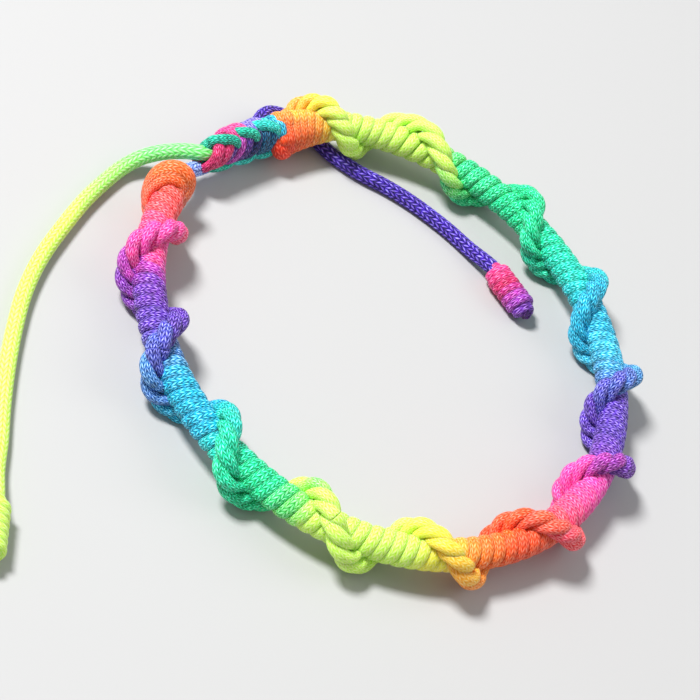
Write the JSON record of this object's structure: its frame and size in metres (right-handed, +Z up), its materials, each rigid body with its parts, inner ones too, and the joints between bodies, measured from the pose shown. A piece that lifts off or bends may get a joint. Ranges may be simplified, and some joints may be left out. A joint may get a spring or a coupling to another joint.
{
  "type": "braided bracelet",
  "caption": "Adjustable cord bracelet tied in half hitches that form a spiral ridge, closed by a sliding knot whose loose tails end in stopper knots.",
  "frame": {"origin": "on the surface that the bracelet lies on, under the middle of the box round the band and closure", "axes": "+Z up, through the loop; +Y from the middle of the loop to the sliding knot; +X to the right, seen from above"},
  "size_m": [0.0902, 0.0663, 0.0076],
  "materials": {
    "rainbow_cord": "silky braided nylon, dyed in bands of neon colour, shown in full in the visual model",
    "core_cord": "silky braided nylon, lilac blue",
    "closure_cord": "silky braided nylon, teal, navy and crimson",
    "green_cord": "silky braided nylon, mint green to lime yellow",
    "purple_cord": "silky braided nylon, purple",
    "pink_cord": "silky braided nylon, hot pink to violet"
  },
  "bodies": {
    "root": {"knotted_band": "rainbow_cord", "left_core": "core_cord", "right_core": "core_cord", "sliding_knot": "closure_cord", "green_tail": "green_cord", "green_stopper": "green_cord", "purple_tail": "purple_cord", "purple_stopper": "pink_cord"}
  },
  "joints": []
}
